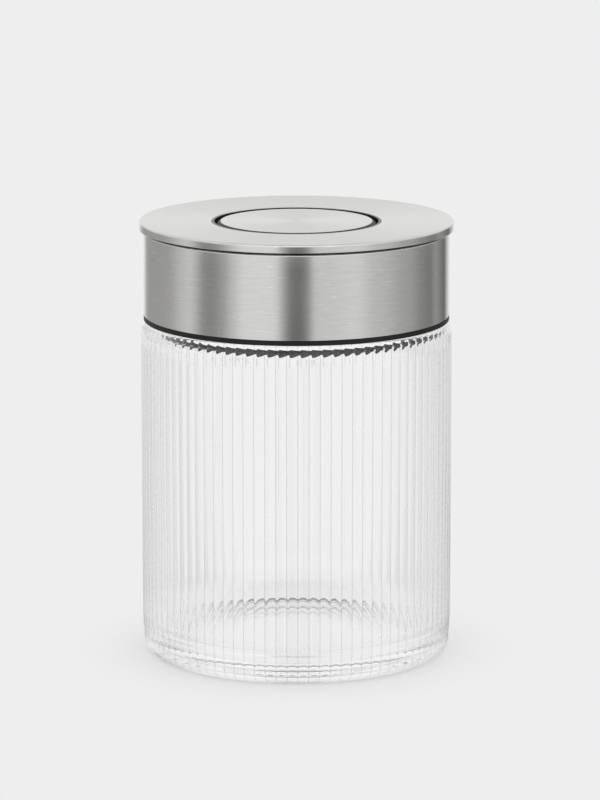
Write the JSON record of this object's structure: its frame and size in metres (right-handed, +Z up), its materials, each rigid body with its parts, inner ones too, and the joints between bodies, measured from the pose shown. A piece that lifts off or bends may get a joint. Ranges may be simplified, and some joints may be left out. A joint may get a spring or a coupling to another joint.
{
  "type": "lidded glass canister",
  "caption": "Round storage canister of ribbed clear glass, closed by a steel-clad lid whose push button squeezes an airtight gasket.",
  "frame": {"origin": "centre of the ring that the jar stands on, at the table", "axes": "+Z up the canister's axis, through the lid's button; +X through the first lever, with the latch 60 degrees round from it"},
  "size_m": [0.101, 0.101, 0.1409],
  "materials": {
    "glass": "clear, polished, with fine vertical ribs outside",
    "brushed_steel": "stainless steel, brushed round the lid, satin",
    "black_plastic": "moulded, black, satin",
    "silicone": "soft white silicone, slightly translucent",
    "spring_steel": "bright spring steel"
  },
  "bodies": {
    "jar": {"jar": "glass"},
    "lid": {"lid_cover": "brushed_steel", "lid_band": "brushed_steel", "upper_housing": "black_plastic", "lower_housing": "black_plastic", "housing_screws": "spring_steel", "lever_pins": "spring_steel", "plug_gasket": "silicone", "button_spring": "spring_steel", "latch_wire": "spring_steel"},
    "button": {"button_cap": "brushed_steel", "button_plunger": "black_plastic"},
    "press_plate": {"press_plate": "black_plastic"},
    "lever_1": {"lever_1": "black_plastic"},
    "lever_2": {"lever_2": "black_plastic"},
    "lever_3": {"lever_3": "black_plastic"}
  },
  "joints": [
    {"name": "lid_lift", "type": "slide", "parent": "jar", "child": "lid", "axis": [0, 0, 1], "range_m": [0, 0.06]},
    {"name": "button_press", "type": "slide", "parent": "lid", "child": "button", "axis": [0, 0, 1], "range_m": [0, 0.008], "deforming": ["button_spring", "latch_wire"]},
    {"name": "plate_lift", "type": "slide", "parent": "lid", "child": "press_plate", "axis": [0, 0, 1], "range_m": [-0.00201, 0], "deforming": ["plug_gasket"]},
    {"name": "lever_1_tilt", "type": "hinge", "parent": "lid", "child": "lever_1", "pos_m": [0.0324, 0, 0.12035], "axis": [0, 1, 0], "range_deg": [0, 18.9]},
    {"name": "lever_2_tilt", "type": "hinge", "parent": "lid", "child": "lever_2", "pos_m": [-0.0162, 0.02806, 0.12035], "axis": [-0.866, -0.5, 0], "range_deg": [0, 18.9]},
    {"name": "lever_3_tilt", "type": "hinge", "parent": "lid", "child": "lever_3", "pos_m": [-0.0162, -0.02806, 0.12035], "axis": [0.866, -0.5, 0], "range_deg": [0, 18.9]}
  ],
  "couplings": [
    {"joint": "plate_lift", "follows": "button_press", "ratio": -0.25135},
    {"joint": "lever_1_tilt", "follows": "button_press", "rad_per_m": 41.169},
    {"joint": "lever_2_tilt", "follows": "button_press", "rad_per_m": 41.169},
    {"joint": "lever_3_tilt", "follows": "button_press", "rad_per_m": 41.169}
  ]
}
